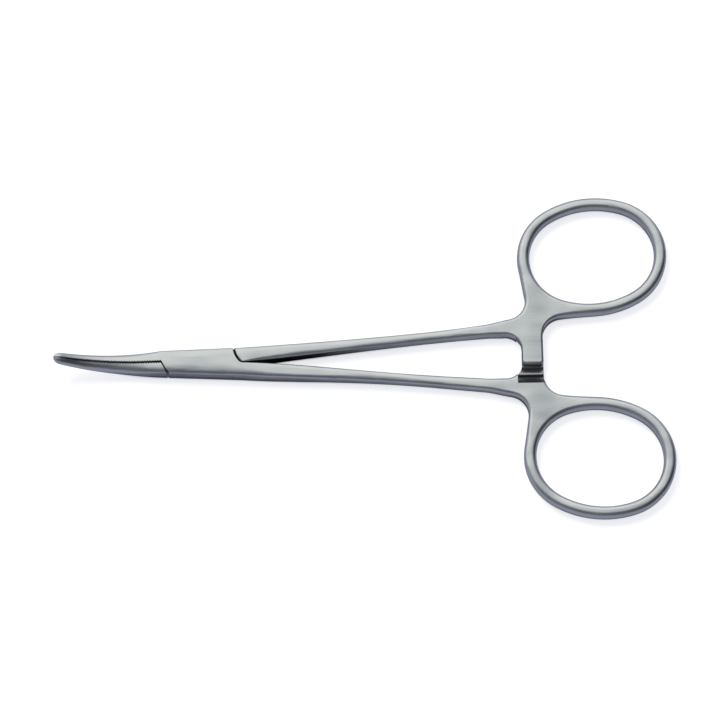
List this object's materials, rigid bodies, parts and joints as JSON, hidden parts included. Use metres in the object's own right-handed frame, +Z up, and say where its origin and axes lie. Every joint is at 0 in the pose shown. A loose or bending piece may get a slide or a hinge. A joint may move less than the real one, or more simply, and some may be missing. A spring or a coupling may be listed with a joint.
{
  "type": "hemostat forceps",
  "caption": "Curved mosquito-type haemostatic forceps of satin steel: serrated jaws, box lock hinge, finger rings and a ratchet that holds them closed.",
  "frame": {"origin": "on the axis of the rivet, at the flat underside of the box lock", "axes": "+X from the box lock to the finger rings, +Y toward the male half's ring, +Z up, the side that the closed jaws curve to"},
  "size_m": [0.1248, 0.069, 0.0079],
  "materials": {
    "steel": "satin"
  },
  "bodies": {
    "female": {"female_half": "steel", "pivot_pin": "steel"},
    "male": {"male_half": "steel"}
  },
  "joints": [
    {"name": "box_lock", "type": "hinge", "parent": "female", "child": "male", "pos_m": [0, 0, 0.002], "axis": [0, 0, 1], "range_deg": [0, 45]}
  ]
}
